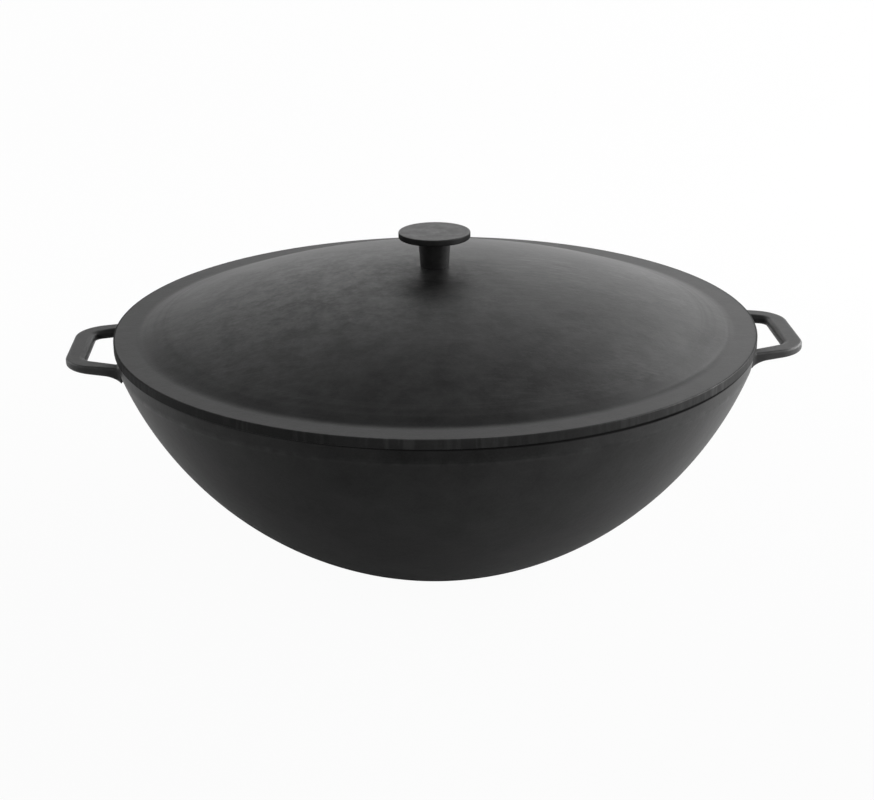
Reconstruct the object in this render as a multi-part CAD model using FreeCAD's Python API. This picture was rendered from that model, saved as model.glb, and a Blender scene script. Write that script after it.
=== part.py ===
import FreeCAD, Part
import math
import os

# Cast-iron kazan: a round-bellied pot with two flat ears, and a domed lid with a screwed-on knob.
# Millimetres, +Z up. The origin is the middle of the flat foot, and the ears lie along X.

# Pot: rim, bowl and foot
rim_radius = 198.2
rim_width = 6.0
rim_band_height = 8.9
pot_height = 140.0
belly_radius = 220.5
foot_radius = 71.3
wall = 4.5
floor_thickness = 5.0
floor_blend = 25.0
foot_round = 3.0
rim_bevel = 0.8

# Pot: the two ears, cast in one with the bowl
ear_drop = 4.9
ear_length = 30.5
ear_root_width = 89.0
ear_tip_width = 72.0
ear_corner_radius = 22.0
ear_tip_thickness = 5.0
ear_underside_slope = 2.6
ear_belly_blend = 16.0
ear_side_blend = 6.0
ear_root_bite = 0.6
ear_edge_round = 1.2
grip_width = 12.5
window_root_width = 68.0
window_tip_width = 52.0
window_corner_radius = 7.0

# Lid: flange, dome, locating lip and the boss round the screw hole
lid_overhang = 1.8
flange_thickness = 5.8
flange_width = 15.9
flange_bevel = 0.6
dome_rise = 36.1
dome_foot_blend = 24.0
lid_wall = 4.0
lip_depth = 3.0
lip_width = 3.5
lip_clearance = 1.0
lip_bevel = 0.6
boss_radius = 14.0
boss_height = 1.5
boss_bevel = 1.0
knob_seat_margin = 0.8

# Knob: a turned disc on a tapered stem
knob_height = 22.3
knob_radius = 22.3
knob_disc_thickness = 4.0
knob_neck_radius = 10.2
knob_stem_radius = 8.9
knob_edge_bevel = 0.9
knob_neck_bevel = 1.0
knob_bore_spare = 3.0

# Screw that holds the knob from inside the lid
screw_radius = 4.0
screw_length = 16.0
screw_end_chamfer = 1.0
screw_hole_clearance = 0.4
thread_clearance = 0.1
head_across_flats = 13.0
head_height = 5.3
head_chamfer_angle = 30.0

# Slack for finding an edge by its place
near = 1e-4

# Places that follow from the sizes
mouth_radius = rim_radius - rim_width
band_foot = pot_height - rim_band_height
ear_reach = rim_radius + ear_length
lid_radius = rim_radius + lid_overhang
flange_top = pot_height + flange_thickness
dome_foot_radius = lid_radius - flange_width
dome_radius = (dome_foot_radius ** 2 + dome_rise ** 2) / (2 * dome_rise)
dome_centre = FreeCAD.Vector(0, 0, flange_top + dome_rise - dome_radius)
dome_inside_radius = dome_radius - lid_wall
boss_face = dome_centre.z + dome_inside_radius - boss_height
knob_seat_radius = knob_stem_radius + knob_seat_margin
screw_hole_radius = screw_radius + screw_hole_clearance


def unit(vector):
    """The same direction with length one."""
    return vector / vector.Length


def at(radius, height):
    """Point of a half section, in the XZ plane."""
    return FreeCAD.Vector(radius, 0, height)


def height_on(centre, arc_radius, radius, side):
    """Height of a circle over or under its centre (side 1 or -1), at a distance from the Z axis."""
    return centre.z + side * math.sqrt(arc_radius ** 2 - (radius - centre.x) ** 2)


def arc_between(first, last, centre):
    """Middle and last point of the short arc about a centre."""
    radius = (first - centre).Length
    return centre + unit(unit(first - centre) + unit(last - centre)) * radius, last


def rounded(before, corner, after, radius):
    """First point, and then middle and last point, of the arc that rounds a corner."""
    back = unit(before - corner)
    on = unit(after - corner)
    half_angle = back.getAngle(on) / 2
    reach = radius / math.tan(half_angle)
    depth = radius / math.sin(half_angle) - radius
    return corner + back * reach, (corner + unit(back + on) * depth, corner + on * reach)


def blend_to_circle(start, along, side, centre, radius, blend):
    """Hollow arc from a straight line to a circle: where it leaves the line, its middle and its end.

    Its own centre lies the blend radius to one side of the line, and the sum of both radii
    from the circle's centre."""
    offset = start + side * blend - centre
    ahead = offset.dot(along)
    travel = -ahead - math.sqrt(ahead ** 2 - offset.dot(offset) + (radius + blend) ** 2)
    own_centre = centre + offset + along * travel
    leave = own_centre - side * blend
    meet = centre + unit(own_centre - centre) * radius
    middle = own_centre + unit(unit(leave - own_centre) + unit(meet - own_centre)) * blend
    return leave, (middle, meet)


def outline(start, *steps):
    """Closed wire. A step is an end point, or the middle and the end point of an arc."""
    edges = []
    here = start
    for step in steps + (start,):
        if isinstance(step, tuple):
            edges.append(Part.Arc(here, *step).toShape())
            here = step[1]
        else:
            edges.append(Part.LineSegment(here, step).toShape())
            here = step
    return Part.Wire(edges)


def turned(*points):
    """Solid turned about the Z axis from a closed half section."""
    return Part.Face(outline(*points)).revolve(FreeCAD.Vector(), FreeCAD.Vector(0, 0, 1), 360)


def pillar(bottom, top, *points):
    """Straight solid from a flat outline."""
    face = Part.Face(outline(*points))
    face.translate(FreeCAD.Vector(0, 0, bottom))
    return face.extrude(FreeCAD.Vector(0, 0, top - bottom))


def rings_of(shape, *rings):
    """The ring edges at the given radii and heights."""
    chosen = []
    for edge in shape.Edges:
        place = edge.valueAt(edge.FirstParameter)
        radius = math.hypot(place.x, place.y)
        if any(abs(radius - r) < near and abs(place.z - z) < near for r, z in rings):
            if isinstance(edge.Curve, Part.Circle):
                chosen.append(edge)
    return chosen


def softened(shape, blend, *rings):
    """Round the ring edges at the given radii and heights."""
    return shape.makeFillet(blend, rings_of(shape, *rings))


def bevelled(shape, bevel, *rings):
    """Bevel the ring edges at the given radii and heights."""
    return shape.makeChamfer(bevel, rings_of(shape, *rings))


def belly_centre():
    """Centre of the bowl's wall arc, which runs from the rim band down to the foot."""
    first = at(rim_radius, band_foot)
    last = at(foot_radius, 0)
    chord = last - first
    lift = math.sqrt(belly_radius ** 2 - (chord.Length / 2) ** 2)
    return (first + last) / 2 + unit(FreeCAD.Vector(chord.z, 0, -chord.x)) * lift


def bowl():
    """Bowl with its rim band, flat foot and an even wall."""
    centre = belly_centre()
    foot = at(foot_radius, 0)
    belly_top = at(rim_radius, band_foot)
    shape = turned(at(0, 0), foot, arc_between(foot, belly_top, centre),
                   at(rim_radius, pot_height), at(0, pot_height))
    shape = softened(shape, foot_round, (foot_radius, 0))

    inside_radius = belly_radius - wall
    floor_edge = at(centre.x + math.sqrt(inside_radius ** 2 - (centre.z - floor_thickness) ** 2),
                    floor_thickness)
    mouth_foot = at(mouth_radius, height_on(centre, inside_radius, mouth_radius, -1))
    above = pot_height + rim_band_height
    hollow = turned(at(0, floor_thickness), floor_edge, arc_between(floor_edge, mouth_foot, centre),
                    at(mouth_radius, above), at(0, above))
    hollow = softened(hollow, floor_blend, (floor_edge.x, floor_thickness))
    shape = shape.cut(hollow)
    return bevelled(shape, rim_bevel, (rim_radius, pot_height), (mouth_radius, pot_height))


def ear_ring():
    """Ring with the ears' section all round: flat on top, and its underside run into the bowl.

    It is turned so that its seam lies between the two ears."""
    centre = belly_centre()
    top = pot_height - ear_drop
    slope = math.radians(ear_underside_slope)
    inward = at(-math.cos(slope), -math.sin(slope))
    down = at(math.sin(slope), -math.cos(slope))
    tip = at(ear_reach, top - ear_tip_thickness)
    far_radius = math.hypot(ear_reach, ear_tip_width / 2)
    far = at(far_radius, tip.z + (far_radius - ear_reach) * math.tan(slope))
    leave, to_belly = blend_to_circle(tip, inward, down, centre, belly_radius - ear_root_bite,
                                      ear_belly_blend)
    meet = to_belly[1]
    in_wall = meet + unit(centre - meet) * (wall / 2)
    in_rim = at(rim_radius - rim_width / 2, top)
    ring = turned(in_rim, at(far_radius, top), far, leave, to_belly, in_wall)
    ring.rotate(FreeCAD.Vector(), FreeCAD.Vector(0, 0, 1), 90)
    return ring


def ear_plan():
    """Outline of an ear from above, with flared roots and rounded outer corners."""
    tip = FreeCAD.Vector(ear_reach, ear_tip_width / 2, 0)
    root = FreeCAD.Vector(rim_radius, ear_root_width / 2, 0)
    along = unit(root - tip)
    outward = FreeCAD.Vector(along.y, -along.x, 0)
    leave, to_band = blend_to_circle(tip, along, outward, FreeCAD.Vector(),
                                     rim_radius - ear_root_bite, ear_side_blend)
    corner_start, corner_arc = rounded(root, tip, across(tip), ear_corner_radius)
    in_band = to_band[1] * (1 - rim_width / rim_radius)
    return (in_band, to_band[1], (to_band[0], leave), corner_start, corner_arc,
            across(corner_arc[1]), (across(corner_arc[0]), across(corner_start)),
            across(leave), (across(to_band[0]), across(to_band[1])), across(in_band))


def across(point):
    """The same point on the other side of the XZ plane."""
    return FreeCAD.Vector(point.x, -point.y, point.z)


def window_plan():
    """Outline of the finger window, which ends inside the bowl's wall."""
    tip = FreeCAD.Vector(ear_reach - grip_width, window_tip_width / 2, 0)
    root = FreeCAD.Vector(rim_radius, window_root_width / 2, 0)
    in_wall = root + unit(root - tip) * rim_width
    corner_start, corner_arc = rounded(root, tip, across(tip), window_corner_radius)
    return (in_wall, corner_start, corner_arc, across(corner_arc[1]),
            (across(corner_arc[0]), across(corner_start)), across(in_wall))


def ear():
    """Ear on the +X side, with its window and with its upper and lower edges rounded."""
    top = pot_height - ear_drop
    bottom = top - rim_band_height - ear_belly_blend - ear_tip_thickness
    shape = ear_ring().common(pillar(bottom, pot_height, *ear_plan()))
    shape = shape.cut(pillar(bottom, pot_height, *window_plan()))
    rims = []
    for edge in shape.Edges:
        middle = edge.valueAt((edge.FirstParameter + edge.LastParameter) / 2)
        outside = math.hypot(middle.x, middle.y) > rim_radius
        upright = max(edge.BoundBox.XLength, edge.BoundBox.YLength) < near
        if outside and not upright:
            rims.append(edge)
    return shape.makeFillet(ear_edge_round, rims)


def pot():
    """Pot as one casting: the bowl and two ears, half a turn apart."""
    right = ear()
    left = right.copy()
    left.rotate(FreeCAD.Vector(), FreeCAD.Vector(0, 0, 1), 180)
    return bowl().fuse([right, left]).removeSplitter()


def lid():
    """Lid as one casting, with a flat for the knob on top and a boss for the screw head inside."""
    knob_seat = at(knob_seat_radius, height_on(dome_centre, dome_radius, knob_seat_radius, 1))
    dome_foot = at(dome_foot_radius, flange_top)
    lip_outside = mouth_radius - lip_clearance
    lip_inside = lip_outside - lip_width
    lip_face = pot_height - lip_depth
    inside_foot = at(lip_inside, height_on(dome_centre, dome_inside_radius, lip_inside, 1))
    boss_root = at(boss_radius, height_on(dome_centre, dome_inside_radius, boss_radius, 1))
    shape = turned(at(screw_hole_radius, knob_seat.z), knob_seat,
                   arc_between(knob_seat, dome_foot, dome_centre),
                   at(lid_radius, flange_top), at(lid_radius, pot_height),
                   at(lip_outside, pot_height), at(lip_outside, lip_face), at(lip_inside, lip_face),
                   inside_foot, arc_between(inside_foot, boss_root, dome_centre),
                   at(boss_radius, boss_face), at(screw_hole_radius, boss_face))
    shape = softened(shape, dome_foot_blend, (dome_foot_radius, flange_top))
    shape = bevelled(shape, flange_bevel, (lid_radius, flange_top), (lid_radius, pot_height))
    shape = bevelled(shape, lip_bevel, (lip_outside, lip_face), (lip_inside, lip_face))
    return bevelled(shape, boss_bevel, (boss_radius, boss_face))


def knob():
    """Knob with a blind threaded bore, standing on the flat of the dome."""
    foot = height_on(dome_centre, dome_radius, knob_seat_radius, 1)
    top = foot + knob_height
    disc_under = top - knob_disc_thickness
    bore_radius = screw_radius + thread_clearance
    bore_end = boss_face + screw_length + knob_bore_spare
    shape = turned(at(bore_radius, foot), at(knob_stem_radius, foot), at(knob_neck_radius, disc_under),
                   at(knob_radius, disc_under), at(knob_radius, top), at(0, top),
                   at(0, bore_end), at(bore_radius, bore_end - bore_radius / 2))
    shape = bevelled(shape, knob_edge_bevel, (knob_radius, top), (knob_radius, disc_under))
    return bevelled(shape, knob_neck_bevel, (knob_neck_radius, disc_under))


def hexagon(across_flats):
    """Corners of a hexagon about the Z axis."""
    corner = FreeCAD.Vector(across_flats / math.sqrt(3), 0, 0)
    turns = [FreeCAD.Rotation(FreeCAD.Vector(0, 0, 1), 60 * step) for step in range(6)]
    return [turn.multVec(corner) for turn in turns]


def knob_screw():
    """Hexagon screw, head down, its head drawn up against the boss inside the lid."""
    head_end = boss_face - head_height
    corner_radius = head_across_flats / math.sqrt(3)
    chamfer_depth = (corner_radius - head_across_flats / 2) * math.tan(math.radians(head_chamfer_angle))
    chamfered = turned(at(0, head_end), at(head_across_flats / 2, head_end),
                       at(corner_radius, head_end + chamfer_depth), at(corner_radius, boss_face),
                       at(0, boss_face))
    head = pillar(head_end, boss_face, *hexagon(head_across_flats)).common(chamfered)
    tip = boss_face + screw_length
    shank = turned(at(0, head_end + head_height / 2), at(screw_radius, head_end + head_height / 2),
                   at(screw_radius, tip - screw_end_chamfer), at(screw_radius - screw_end_chamfer, tip),
                   at(0, tip))
    return head.fuse(shank).removeSplitter()


os.makedirs("parts", exist_ok=True)
pot().exportStep("parts/pot.step")
lid().exportStep("parts/lid.step")
knob().exportStep("parts/knob.step")
knob_screw().exportStep("parts/knob_screw.step")
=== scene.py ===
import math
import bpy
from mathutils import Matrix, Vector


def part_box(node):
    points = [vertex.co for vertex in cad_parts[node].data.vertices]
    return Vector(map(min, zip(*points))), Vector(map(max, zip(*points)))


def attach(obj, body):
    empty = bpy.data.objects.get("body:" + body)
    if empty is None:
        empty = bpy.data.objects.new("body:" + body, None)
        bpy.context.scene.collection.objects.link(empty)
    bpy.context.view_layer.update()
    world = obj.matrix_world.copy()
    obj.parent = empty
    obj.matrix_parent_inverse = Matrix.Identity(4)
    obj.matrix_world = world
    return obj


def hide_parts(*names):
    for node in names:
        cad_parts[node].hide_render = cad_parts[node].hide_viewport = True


bl_info = {
    "name": "Cast-iron kazan",
    "version": (1, 0, 0),
    "blender": (4, 5, 0),
    "location": "3D View > Sidebar > Kazan",
    "description": "Builds a cast-iron kazan with its lid and knob, and a plain studio round it",
    "category": "Add Mesh",
}

from typing import NamedTuple, Optional

import bpy
import numpy as np
from bpy.props import FloatProperty, FloatVectorProperty, PointerProperty
from mathutils import Matrix, Vector

# The fixed frame: every place below is taken from its boxes
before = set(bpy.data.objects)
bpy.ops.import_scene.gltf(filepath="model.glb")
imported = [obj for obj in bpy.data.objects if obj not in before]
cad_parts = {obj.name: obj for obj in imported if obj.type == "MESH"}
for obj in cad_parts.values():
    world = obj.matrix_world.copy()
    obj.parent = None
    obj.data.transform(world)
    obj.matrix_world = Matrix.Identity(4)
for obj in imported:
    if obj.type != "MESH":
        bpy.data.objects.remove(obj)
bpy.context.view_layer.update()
_, pot_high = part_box("pot")
lid_low, lid_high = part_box("lid")
knob_low, knob_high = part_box("knob")

MM = 0.001
BODY = "root"
WHITE = (1.0, 1.0, 1.0, 1.0)


def length(name, description, default):
    """A size that a user can change, in metres."""
    return FloatProperty(name=name, description=description, default=default, unit="LENGTH",
                         precision=5)


def number(name, description, default):
    """A plain factor that a user can change."""
    return FloatProperty(name=name, description=description, default=default, subtype="FACTOR",
                         precision=4)


def colour(name, description, default):
    """A colour that a user can change, in linear light."""
    return FloatVectorProperty(name=name, description=description, default=default, size=3,
                               subtype="COLOR", min=0.0, max=1.0)


def angle(name, description, default):
    """An angle that a user can change, written in degrees."""
    return FloatProperty(name=name, description=description, default=math.radians(default),
                         unit="ROTATION")


def power(name, description, default):
    """The power of a lamp, in watts."""
    return FloatProperty(name=name, description=description, default=default, unit="POWER")


class KazanPotSizes(bpy.types.PropertyGroup):
    """Sizes of the bowl."""
    rim_radius: length("Rim radius", "Outside radius of the upright band under the rim", pot_high.y)
    rim_height: length("Rim height", "Height of the rim above the table", pot_high.z)
    rim_width: length("Rim width", "Width of the flat top of the rim", 6.0 * MM)
    band_height: length("Band height", "Height of the upright band under the rim", 8.9 * MM)
    belly_radius: length("Belly radius", "Radius of the arc that the wall follows", 220.5 * MM)
    foot_radius: length("Foot radius", "Radius of the flat foot", 71.3 * MM)
    wall: length("Wall", "Thickness of the wall", 4.5 * MM)
    floor_thickness: length("Floor", "Thickness of the floor over the foot", 5.0 * MM)
    edge_softness: length("Edge softness", "Start of the rounding, from the rim's inner edge", 0.9 * MM)
    seam_softness: length("Seam softness", "Start of the rounding, from the rim's outer edge", 1.9 * MM)
    band_softness: length("Band softness", "Start of the rounding, from the band's foot", 1.6 * MM)
    foot_softness: length("Foot softness", "Start of the rounding, from the foot's edge", 2.2 * MM)
    floor_softness: length("Floor softness", "Start of the hollow, from the floor's edge", 12.0 * MM)


class KazanEarSizes(bpy.types.PropertyGroup):
    """Sizes of the two ears."""
    reach: length("Reach", "Distance of the outer edge from the axis", pot_high.x)
    drop: length("Drop", "Depth of the top face under the rim", 4.9 * MM)
    root_width: length("Root width", "Width across the ear at the band", 89.0 * MM)
    tip_width: length("Tip width", "Width at the outer edge, to the sharp corners", 72.0 * MM)
    corner_radius: length("Corner radius", "Radius of the outer corners", 22.0 * MM)
    tip_thickness: length("Tip thickness", "Thickness at the outer edge", 5.0 * MM)
    slope: angle("Underside slope", "Slope of the underside", 2.6)
    belly_blend: length("Belly blend", "Radius of the hollow under it, to the belly", 16.0 * MM)
    side_blend: length("Side blend", "Radius of the hollow from each side to the band", 6.0 * MM)
    root_bite: length("Root bite", "How far the blends reach into the bowl", 0.6 * MM)
    top_blend: length("Top blend", "Radius of the hollow from the top face to the band", 1.6 * MM)
    edge_round: length("Edge round", "Radius of the rounded edges", 1.4 * MM)
    grip_width: length("Grip width", "Width of the outer bar", 12.5 * MM)
    window_root_width: length("Window root width", "Width of the finger window at the band", 68.0 * MM)
    window_tip_width: length("Window tip width", "Width of the window at the outer bar", 52.0 * MM)
    window_corner_radius: length("Window corner radius", "Radius of its outer corners", 7.0 * MM)


class KazanLidSizes(bpy.types.PropertyGroup):
    """Sizes of the lid."""
    radius: length("Radius", "Outside radius of the flange", 200.0 * MM)
    flange_thickness: length("Flange thickness", "Height of the flange's edge", 5.8 * MM)
    flange_width: length("Flange width", "Width of the flat flange round the dome", 15.9 * MM)
    dome_rise: length("Dome rise", "Height of the dome over the flange", 36.1 * MM)
    wall: length("Wall", "Thickness of the dome", 4.0 * MM)
    lip_depth: length("Lip depth", "How far the locating lip reaches into the bowl", 3.0 * MM)
    lip_width: length("Lip width", "Width of the locating lip", 3.5 * MM)
    lip_clearance: length("Lip clearance", "Gap between the lip and the mouth of the bowl", 1.0 * MM)
    boss_radius: length("Boss radius", "Radius of the boss under the knob", 14.0 * MM)
    boss_height: length("Boss height", "Height of the boss under the knob", 1.5 * MM)
    hole_radius: length("Hole radius", "Radius of the screw hole", 4.4 * MM)
    seat_radius: length("Seat radius", "Radius of the flat that the knob stands on", 9.7 * MM)
    edge_softness: length("Edge softness", "Start of the rounding, from each edge", 0.6 * MM)
    dome_softness: length("Dome softness", "Start of the hollow, from the dome's foot", 2.6 * MM)


class KazanKnobSizes(bpy.types.PropertyGroup):
    """Sizes of the knob."""
    radius: length("Radius", "Radius of the disc", knob_high.x)
    height: length("Height", "Height of the knob over the dome", knob_high.z - knob_low.z)
    disc_thickness: length("Disc thickness", "Thickness of the disc at its edge", 4.0 * MM)
    neck_radius: length("Neck radius", "Radius of the stem under the disc", 10.2 * MM)
    stem_radius: length("Stem radius", "Radius of the stem at the dome", 8.9 * MM)
    bore_radius: length("Bore radius", "Radius of the blind bore for the screw", 4.1 * MM)
    bore_depth: length("Bore depth", "Depth of the blind bore for the screw", 13.5 * MM)
    edge_softness: length("Edge softness", "Start of the rounding, from the disc's edges", 0.9 * MM)
    neck_softness: length("Neck softness", "Start of the hollow, from the neck", 1.4 * MM)


class KazanFinish(bpy.types.PropertyGroup):
    """Colours and finish of the iron."""
    pot_colour: colour("Pot colour", "Colour of the bowl and ears", (0.017, 0.017, 0.017))
    lid_colour: colour("Lid colour", "Colour of the lid", (0.015, 0.015, 0.015))
    knob_colour: colour("Knob colour", "Colour of the knob", (0.018, 0.018, 0.018))
    screw_colour: colour("Screw colour", "Colour of the screw", (0.45, 0.45, 0.45))
    pot_roughness: number("Pot roughness", "Roughness of the bowl and ears", 0.50)
    lid_roughness: number("Lid roughness", "Roughness of the lid", 0.42)
    knob_roughness: number("Knob roughness", "Roughness of the knob", 0.42)
    grain_size: length("Grain size", "Size of the grain that the sand mould leaves", 1.1 * MM)
    patch_size: length("Patch size", "Size of the cloudy patches", 26.0 * MM)
    unevenness: length("Unevenness", "Depth of the slow waves in the cast faces", 0.10 * MM)


class KazanStageLook(bpy.types.PropertyGroup):
    """Floor, lamps and camera."""
    # The darker floor in front is painted shade, which the iron mirrors
    near_colour: colour("Near colour", "Colour of the floor in front", (0.32, 0.32, 0.32))
    far_colour: colour("Far colour", "Colour of the floor behind and the backdrop", (0.85, 0.85, 0.85))
    floor_glow: number("Floor glow", "How white the floor and backdrop look to the camera", 0.96)
    wall_left: number("Backdrop glow, left", "Left of the backdrop, as the iron mirrors it", 0.07)
    wall_right: number("Backdrop glow, right", "Right of the backdrop, as the iron mirrors it", 0.65)
    table_left: number("Table glow, left", "Left of the floor, as the iron mirrors it", 0.52)
    table_right: number("Table glow, right", "Right of the floor, as the iron mirrors it", 1.0)
    room_right: number("Room right", "Light from the right side of the room", 0.05)
    room_left: number("Room left", "Light from the left side of the room", 0.60)
    room_back: number("Room back", "Light from behind the object", 0.05)
    room_front: number("Room front", "Light from behind the camera", 0.91)
    room_above: number("Room above", "Light from above", 0.03)
    right_lamp: power("Right lamp", "Soft lamp behind on the right", 17.0)
    left_lamp: power("Left lamp", "Soft lamp behind on the left", 6.0)
    side_lamp: power("Side lamp", "Low soft lamp on the right", 44.0)
    camera_distance: length("Camera distance", "From the camera to where it looks", 1119.4 * MM)
    target_offset: length("Target offset", "How far right of the axis it looks", 0.7 * MM)
    target_height: length("Target height", "How far over the floor it looks", 92.5 * MM)
    camera_pitch: angle("Camera pitch", "How far the camera looks down", 20.68)
    camera_turn: angle("Camera turn", "How far the camera stands round from the front", -2.62)
    camera_roll: angle("Camera roll", "How far the camera leans to the right", 0.505)
    camera_lens: FloatProperty(name="Lens", description="Focal length, in millimetres", default=72.0)


class Corner(NamedTuple):
    """Corner of a half section: where it is, how its edge is softened, and how the section goes on.

    The next stretch is straight, or an arc about the centre. Spacing is the distance between its
    points, and cast is how much of the slow unevenness of a cast face it has. Worn is the edge value of
    the corner's rounding, or None for 1 on an outward one and -1 in a hollow."""
    radius: float
    height: float
    soft: float = 0.0
    centre: Optional[tuple] = None
    spacing: float = 4.0 * MM
    cast: float = 0.0
    worn: Optional[float] = None


def shares(stretch_length, spacing):
    """Even shares from 0 to 1, with one more close to each end, so that a rounding beside a long
    flat stretch doesn't bend its shading."""
    guard = 0.4 * MM
    even = np.linspace(0, 1, max(int(math.ceil(stretch_length / spacing)), 1) + 1)
    if stretch_length > 4 * guard:
        near_end = guard / stretch_length
        even = np.concatenate([[0, near_end], even[1:-1], [1 - near_end, 1]])
        even = np.unique(np.clip(even, 0, 1))
    return even


def stretch(first, last, centre, start_trim, end_trim, spacing):
    """Points from one corner to the next, less the softened ends.

    A straight stretch is first + share * (last - first). An arc turns from the first angle to the
    last one, the short way round, at the distance of the first corner from the centre."""
    first, last = np.array(first), np.array(last)
    if centre is None:
        whole = np.hypot(*(last - first))
    else:
        centre = np.array(centre)
        radius = np.hypot(*(first - centre))
        start_angle = math.atan2(*(first - centre)[::-1])
        end_angle = math.atan2(*(last - centre)[::-1])
        turn = (end_angle - start_angle + math.pi) % (2 * math.pi) - math.pi
        whole = abs(turn) * radius
    start, end = start_trim / whole, 1 - end_trim / whole
    share = start + (end - start) * shares(whole - start_trim - end_trim, spacing)
    if centre is None:
        return first + share[:, None] * (last - first)
    angles = start_angle + turn * share
    return centre + radius * np.stack([np.cos(angles), np.sin(angles)], axis=-1)


def section(corners, closed):
    """Half section through the corners, with its solid on the left.

    A softened corner is a parabola with the corner as its control point:
    (1-t)^2 * before + 2t(1-t) * corner + t^2 * after. Returned with each point are its share of
    unevenness and an edge value, which is 1 on an outward rounding, -1 in a hollow one and 0 between."""
    bend_steps = 7
    points, cast, edge = [], [], []
    count = len(corners)
    legs = []
    for index in range(count if closed else count - 1):
        here, after = corners[index], corners[(index + 1) % count]
        legs.append(stretch(here[:2], after[:2], here.centre, here.soft, after.soft, here.spacing))
    for index, leg in enumerate(legs):
        here = corners[index]
        before = legs[index - 1] if index or closed else None
        if before is not None and here.soft > 0:
            t = np.linspace(0, 1, bend_steps + 1)[1:-1, None]
            corner = np.array(here[:2])
            bend = (1 - t) ** 2 * before[-1] + 2 * t * (1 - t) * corner + t ** 2 * leg[0]
            way_in, way_out = corner - before[-1], leg[0] - corner
            side = np.sign(way_in[0] * way_out[1] - way_in[1] * way_out[0])
            side = side if here.worn is None else here.worn
            points.append(bend)
            cast.append(np.full(len(bend), min(here.cast, corners[index - 1].cast)))
            edge.append(np.full(len(bend), side))
        last_leg = index == len(legs) - 1
        kept = leg if here.soft > 0 or not points else leg[1:]
        if closed and last_leg and corners[0].soft == 0:
            kept = kept[:-1]
        points.append(kept)
        cast.append(np.full(len(kept), here.cast))
        edge.append(np.zeros(len(kept)))
    return np.concatenate(points), np.concatenate(cast), np.concatenate(edge)


def spread_edges(points, edge, closed):
    """Let the edge value fade along the section: exp(-distance / fade) from each rounding."""
    fade = 0.9 * MM
    steps = np.hypot(*np.diff(points, axis=0).T)
    place = np.concatenate([[0], np.cumsum(steps)])
    gap = np.abs(place[:, None] - place[None, :])
    if closed:
        whole = place[-1] + np.hypot(*(points[0] - points[-1]))
        gap = np.minimum(gap, whole - gap)
    pull = np.exp(-gap / fade)
    outward = (pull * (edge > 0)).max(axis=1)
    inward = (pull * (edge < 0)).max(axis=1)
    return outward - inward


def cast_waves(points, seed):
    """Slow waves of a cast face, from 0 to 1: a sum of sines along fixed random directions, with
    wavelengths between the two given."""
    shortest, longest, count = 16 * MM, 90 * MM, 14
    draw = np.random.default_rng(seed)
    ways = draw.normal(size=(count, 3))
    ways /= np.linalg.norm(ways, axis=1)[:, None]
    wavelengths = np.geomspace(shortest, longest, count)
    phases = draw.uniform(0, 2 * math.pi, count)
    heights = wavelengths / wavelengths.sum()
    waves = np.sin(points @ (ways * (2 * math.pi / wavelengths)[:, None]).T + phases) @ heights
    return 0.5 + 0.5 * waves / np.abs(waves).max()


def side_normals(points, closed):
    """Outward normals of a section whose solid lies on its left."""
    if closed:
        ahead, behind = np.roll(points, -1, axis=0), np.roll(points, 1, axis=0)
    else:
        ahead = np.concatenate([points[1:], points[-1:]])
        behind = np.concatenate([points[:1], points[:-1]])
    way = ahead - behind
    way /= np.hypot(*way.T)[:, None]
    return np.stack([way[:, 1], -way[:, 0]], axis=-1)


def turned_shell(corners, closed, around, unevenness, seed):
    """Closed surface of revolution: (r cos a, r sin a, z) for each section point and each angle a.

    The point is first moved inwards along its normal by the slow waves. An open section starts and
    ends on the axis, where a single point closes it."""
    points, cast, edge = section(corners, closed)
    edge = spread_edges(points, edge, closed)
    normals = side_normals(points, closed)
    angles = np.arange(around) * (2 * math.pi / around)
    ring = np.stack([np.cos(angles), np.sin(angles)], axis=-1)

    def lifted(section_points):
        flat = section_points[:, None, :1] * ring[None]
        heights = np.broadcast_to(section_points[:, None, 1:], flat.shape[:2] + (1,))
        return np.concatenate([flat, heights], axis=-1)

    surface = lifted(points)
    waves = cast_waves(surface.reshape(-1, 3), seed).reshape(surface.shape[:2])
    depth = unevenness * cast[:, None] * waves
    surface = surface - depth[..., None] * (lifted(points + normals) - lifted(points))
    rows = np.arange(len(points) * around).reshape(len(points), around)
    edges = np.repeat(edge, around)
    if closed:
        return surface.reshape(-1, 3), grid_faces(rows, True, True), edges
    vertices = surface[1:-1].reshape(-1, 3)
    poles = [[0, 0, points[0, 1]], [0, 0, points[-1, 1]]]
    edges = np.concatenate([edges[around:-around], [0, 0]])
    return np.concatenate([vertices, poles]), tube_faces(rows[:-2]), edges


def grid_faces(rows, wrap_rows, wrap_columns):
    """Four-sided faces of a grid of vertex numbers, joined up at the wrapped sides."""
    if wrap_rows:
        rows = np.concatenate([rows, rows[:1]])
    if wrap_columns:
        rows = np.concatenate([rows, rows[:, :1]], axis=1)
    faces = np.stack([rows[:-1, :-1], rows[:-1, 1:], rows[1:, 1:], rows[1:, :-1]], axis=-1)
    return faces.reshape(-1, 4).tolist()


def tube_faces(rows):
    """Faces of a tube, given as rings of vertex numbers, with a fan over each end. The fans meet in the
    two vertices that follow those of the last ring."""
    around = rows.shape[1]
    first_end, last_end = rows.size, rows.size + 1
    beside = np.roll(rows, -1, axis=1)
    fans = np.concatenate([np.stack([np.full(around, first_end), beside[0], rows[0]], axis=-1),
                           np.stack([rows[-1], beside[-1], np.full(around, last_end)], axis=-1)])
    return grid_faces(rows, False, True) + fans.tolist()


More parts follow.
